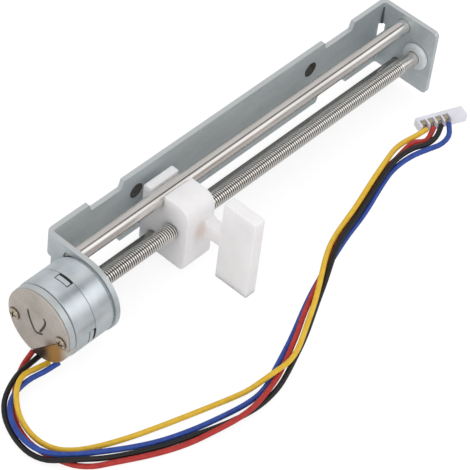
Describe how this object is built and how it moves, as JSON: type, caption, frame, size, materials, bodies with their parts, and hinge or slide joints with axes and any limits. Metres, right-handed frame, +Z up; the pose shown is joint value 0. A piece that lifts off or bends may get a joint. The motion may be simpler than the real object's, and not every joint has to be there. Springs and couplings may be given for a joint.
{
  "type": "stepper motor linear slide",
  "caption": "Small stepper motor on a bent steel bracket turns a lead screw that moves a white carriage with a side wing along guide rods; its wires end in a plug.",
  "frame": {"origin": "middle of the box around the rigid slide, without its wires and plug, on the surface that the carriage wing stands on", "axes": "+X along the screw from the motor to the far ear, +Y towards the back of the bracket, +Z up"},
  "size_m": [0.1198, 0.0446, 0.0186],
  "materials": {
    "zinc_steel": "zinc plated sheet, grey with a cool tint",
    "ground_steel": "ground and polished",
    "can_steel": "bright zinc plated pressing",
    "cap_steel": "warm grey matt plate",
    "yellow_screw": "yellowish nickel plated steel",
    "acetal": "white, slightly translucent, satin",
    "bobbin": "natural",
    "copper": "enamelled copper winding",
    "ferrite": "bonded magnet, dark",
    "bronze": "sintered bronze",
    "resin": "amber, translucent",
    "nylon": "white",
    "tin": "tinned",
    "red_insulation": "satin",
    "black_insulation": "satin",
    "yellow_insulation": "satin",
    "blue_insulation": "satin"
  },
  "bodies": {
    "slide_frame": {"bracket": "zinc_steel", "upper_guide_rod": "ground_steel", "lower_guide_rod": "ground_steel", "end_bush": "acetal", "front_plate": "zinc_steel", "front_cup": "can_steel", "rear_cup": "can_steel", "front_yoke": "can_steel", "rear_yoke": "can_steel", "front_bobbin": "bobbin", "rear_bobbin": "bobbin", "front_winding": "copper", "rear_winding": "copper", "front_bearing": "bronze", "rear_bearing": "bronze", "front_washer": "acetal", "rear_washer": "acetal", "end_ring": "can_steel", "end_cap": "cap_steel", "cap_screw_1": "yellow_screw", "cap_screw_2": "yellow_screw", "wire_seal": "resin", "plug_housing": "nylon", "contact_1": "tin", "contact_2": "tin", "contact_3": "tin", "contact_4": "tin", "wire_red": "red_insulation", "wire_black": "black_insulation", "wire_yellow": "yellow_insulation", "wire_blue": "blue_insulation"},
    "screw_and_rotor": {"lead_screw": "ground_steel", "rotor_hub": "bobbin", "rotor_magnet": "ferrite"},
    "carriage": {"carriage": "acetal"}
  },
  "joints": [
    {"name": "screw_spin", "type": "hinge", "parent": "slide_frame", "child": "screw_and_rotor", "pos_m": [-0.03927, 0.00237, 0.0093], "axis": [1, 0, 0], "range_deg": [-43200, 14040]},
    {"name": "carriage_slide", "type": "slide", "parent": "slide_frame", "child": "carriage", "axis": [1, 0, 0], "range_m": [-0.0195, 0.06]}
  ],
  "couplings": [
    {"joint": "screw_spin", "follows": "carriage_slide", "rad_per_m": -12566}
  ]
}
